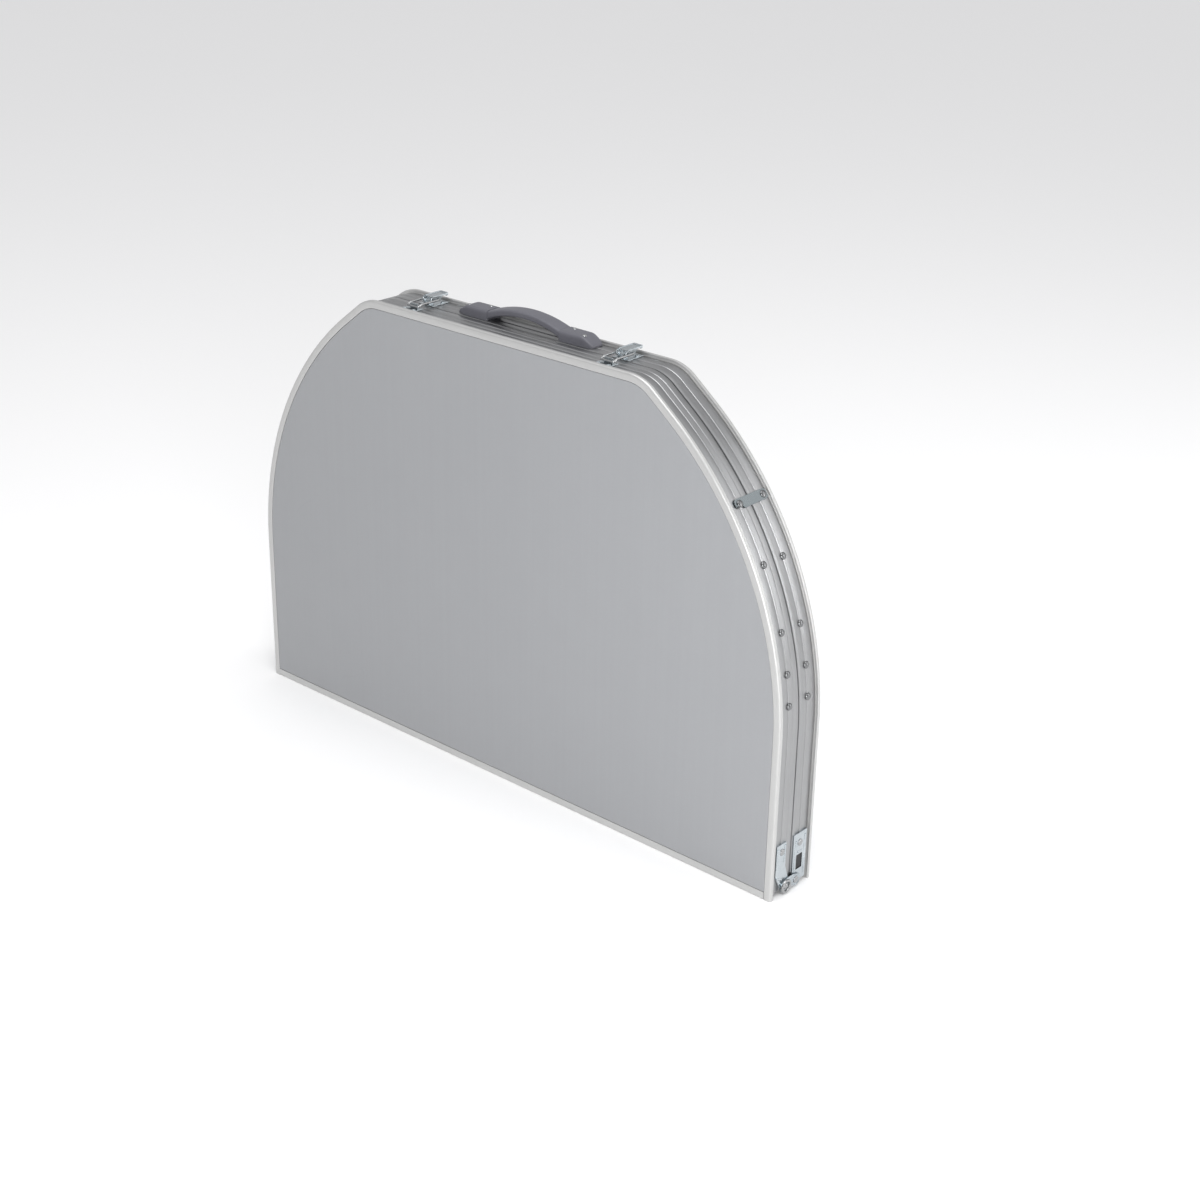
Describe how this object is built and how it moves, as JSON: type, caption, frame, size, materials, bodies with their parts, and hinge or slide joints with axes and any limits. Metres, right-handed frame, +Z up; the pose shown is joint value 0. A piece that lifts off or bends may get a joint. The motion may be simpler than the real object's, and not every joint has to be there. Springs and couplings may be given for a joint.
{
  "type": "folding table",
  "caption": "Folding table of two D-shaped halves, closed like a suitcase on its fold edge, with a carrying handle, latches and telescopic legs inside.",
  "frame": {"origin": "middle of the fold edge that the closed table stands on, at floor level", "axes": "+X along the fold to the right, +Y through the thickness to the rear half, +Z up from the fold edge to the handle"},
  "size_m": [0.9042, 0.08, 0.6226],
  "materials": {
    "laminate": "grey satin melamine on fibreboard",
    "edge_band": "satin anodised",
    "rail": "satin anodised, drawn lengthways",
    "tube": "satin anodised tube",
    "zinc": "bright zinc plated",
    "handle": "dark grey fine-grained plastic",
    "foot": "black rubber"
  },
  "bodies": {
    "rear_half": {"rear_panel": "laminate", "rear_edge_band": "edge_band", "rear_fold_trim": "edge_band", "rear_side_rail": "rail", "rear_fold_rail": "rail", "rear_lower_cross_bar": "rail", "rear_upper_cross_bar": "rail", "rear_left_hinge_leaf": "zinc", "rear_left_leg_bracket": "zinc", "rear_left_brace_guide": "zinc", "rear_right_hinge_leaf": "zinc", "rear_right_leg_bracket": "zinc", "rear_right_brace_guide": "zinc", "handle_grip": "handle", "left_handle_cap": "handle", "right_handle_cap": "handle", "left_latch_base": "zinc", "right_latch_base": "zinc"},
    "hinge_links": {"left_hinge_link": "zinc", "right_hinge_link": "zinc"},
    "front_half": {"front_panel": "laminate", "front_edge_band": "edge_band", "front_fold_trim": "edge_band", "front_side_rail": "rail", "front_fold_rail": "rail", "front_lower_cross_bar": "rail", "front_upper_cross_bar": "rail", "front_left_hinge_leaf": "zinc", "front_left_leg_bracket": "zinc", "front_left_brace_guide": "zinc", "front_right_hinge_leaf": "zinc", "front_right_leg_bracket": "zinc", "front_right_brace_guide": "zinc", "left_latch_strike": "zinc", "right_latch_strike": "zinc", "left_catch_stud": "zinc", "right_catch_stud": "zinc"},
    "rear_legs": {"rear_leg_frame": "tube"},
    "rear_left_extension": {"rear_left_inner_leg": "tube", "rear_left_foot": "foot"},
    "rear_left_brace_arm": {"rear_left_brace": "zinc"},
    "rear_right_extension": {"rear_right_inner_leg": "tube", "rear_right_foot": "foot"},
    "rear_right_brace_arm": {"rear_right_brace": "zinc"},
    "front_legs": {"front_leg_frame": "tube"},
    "front_left_extension": {"front_left_inner_leg": "tube", "front_left_foot": "foot"},
    "front_left_brace_arm": {"front_left_brace": "zinc"},
    "front_right_extension": {"front_right_inner_leg": "tube", "front_right_foot": "foot"},
    "front_right_brace_arm": {"front_right_brace": "zinc"},
    "left_lever": {"left_latch_lever": "zinc"},
    "left_loop": {"left_latch_loop": "zinc"},
    "left_catch": {"left_catch_plate": "zinc"},
    "right_lever": {"right_latch_lever": "zinc"},
    "right_loop": {"right_latch_loop": "zinc"},
    "right_catch": {"right_catch_plate": "zinc"}
  },
  "joints": [
    {"name": "link_swing", "type": "hinge", "parent": "rear_half", "child": "hinge_links", "pos_m": [0, 0.01025, 0.01], "axis": [1, 0, 0], "range_deg": [0, 90]},
    {"name": "front_fold", "type": "hinge", "parent": "hinge_links", "child": "front_half", "pos_m": [0, -0.01025, 0.01], "axis": [1, 0, 0], "range_deg": [0, 90]},
    {"name": "rear_legs_swing", "type": "hinge", "parent": "rear_half", "child": "rear_legs", "pos_m": [0, 0.015, 0.045], "axis": [1, 0, 0], "range_deg": [0, 67.5]},
    {"name": "rear_left_leg_slide", "type": "slide", "parent": "rear_legs", "child": "rear_left_extension", "axis": [0, 0, 1], "range_m": [0, 0.258]},
    {"name": "rear_left_brace_swing", "type": "hinge", "parent": "rear_legs", "child": "rear_left_brace_arm", "pos_m": [-0.3136, 0.015, 0.23], "axis": [-1, 0, 0], "range_deg": [0, 135]},
    {"name": "rear_right_leg_slide", "type": "slide", "parent": "rear_legs", "child": "rear_right_extension", "axis": [0, 0, 1], "range_m": [0, 0.258]},
    {"name": "rear_right_brace_swing", "type": "hinge", "parent": "rear_legs", "child": "rear_right_brace_arm", "pos_m": [0.3136, 0.015, 0.23], "axis": [-1, 0, 0], "range_deg": [0, 135]},
    {"name": "front_legs_swing", "type": "hinge", "parent": "front_half", "child": "front_legs", "pos_m": [0, -0.015, 0.045], "axis": [-1, 0, 0], "range_deg": [0, 67.5]},
    {"name": "front_left_leg_slide", "type": "slide", "parent": "front_legs", "child": "front_left_extension", "axis": [0, 0, 1], "range_m": [0, 0.258]},
    {"name": "front_left_brace_swing", "type": "hinge", "parent": "front_legs", "child": "front_left_brace_arm", "pos_m": [-0.3136, -0.015, 0.23], "axis": [1, 0, 0], "range_deg": [0, 135]},
    {"name": "front_right_leg_slide", "type": "slide", "parent": "front_legs", "child": "front_right_extension", "axis": [0, 0, 1], "range_m": [0, 0.258]},
    {"name": "front_right_brace_swing", "type": "hinge", "parent": "front_legs", "child": "front_right_brace_arm", "pos_m": [0.3136, -0.015, 0.23], "axis": [1, 0, 0], "range_deg": [0, 135]},
    {"name": "left_latch_lift", "type": "hinge", "parent": "rear_half", "child": "left_lever", "pos_m": [-0.162, 0.005, 0.6061], "axis": [1, 0, 0], "range_deg": [0, 110]},
    {"name": "left_loop_swing", "type": "hinge", "parent": "left_lever", "child": "left_loop", "pos_m": [-0.162, 0.015, 0.6061], "axis": [-1, 0, 0], "range_deg": [0, 132]},
    {"name": "left_catch_swing", "type": "hinge", "parent": "rear_half", "child": "left_catch", "pos_m": [-0.35898, 0.0245, 0.47767], "axis": [-0.8049, 0, 0.5934], "range_deg": [0, 85]},
    {"name": "right_latch_lift", "type": "hinge", "parent": "rear_half", "child": "right_lever", "pos_m": [0.162, 0.005, 0.6061], "axis": [1, 0, 0], "range_deg": [0, 110]},
    {"name": "right_loop_swing", "type": "hinge", "parent": "right_lever", "child": "right_loop", "pos_m": [0.162, 0.015, 0.6061], "axis": [-1, 0, 0], "range_deg": [0, 132]},
    {"name": "right_catch_swing", "type": "hinge", "parent": "rear_half", "child": "right_catch", "pos_m": [0.35898, 0.0245, 0.47767], "axis": [-0.8049, 0, -0.5934], "range_deg": [0, 85]}
  ],
  "couplings": [
    {"joint": "link_swing", "follows": "front_fold", "ratio": 1},
    {"joint": "rear_legs_swing", "follows": "front_fold", "ratio": 0.75},
    {"joint": "rear_left_leg_slide", "follows": "front_fold", "m_per_rad": 0.1642},
    {"joint": "rear_left_brace_swing", "follows": "front_fold", "ratio": 1.5},
    {"joint": "rear_right_leg_slide", "follows": "front_fold", "m_per_rad": 0.1642},
    {"joint": "rear_right_brace_swing", "follows": "front_fold", "ratio": 1.5},
    {"joint": "front_legs_swing", "follows": "front_fold", "ratio": 0.75},
    {"joint": "front_left_leg_slide", "follows": "front_fold", "m_per_rad": 0.1642},
    {"joint": "front_left_brace_swing", "follows": "front_fold", "ratio": 1.5},
    {"joint": "front_right_leg_slide", "follows": "front_fold", "m_per_rad": 0.1642},
    {"joint": "front_right_brace_swing", "follows": "front_fold", "ratio": 1.5},
    {"joint": "left_loop_swing", "follows": "left_latch_lift", "ratio": 1.2},
    {"joint": "right_loop_swing", "follows": "right_latch_lift", "ratio": 1.2}
  ]
}
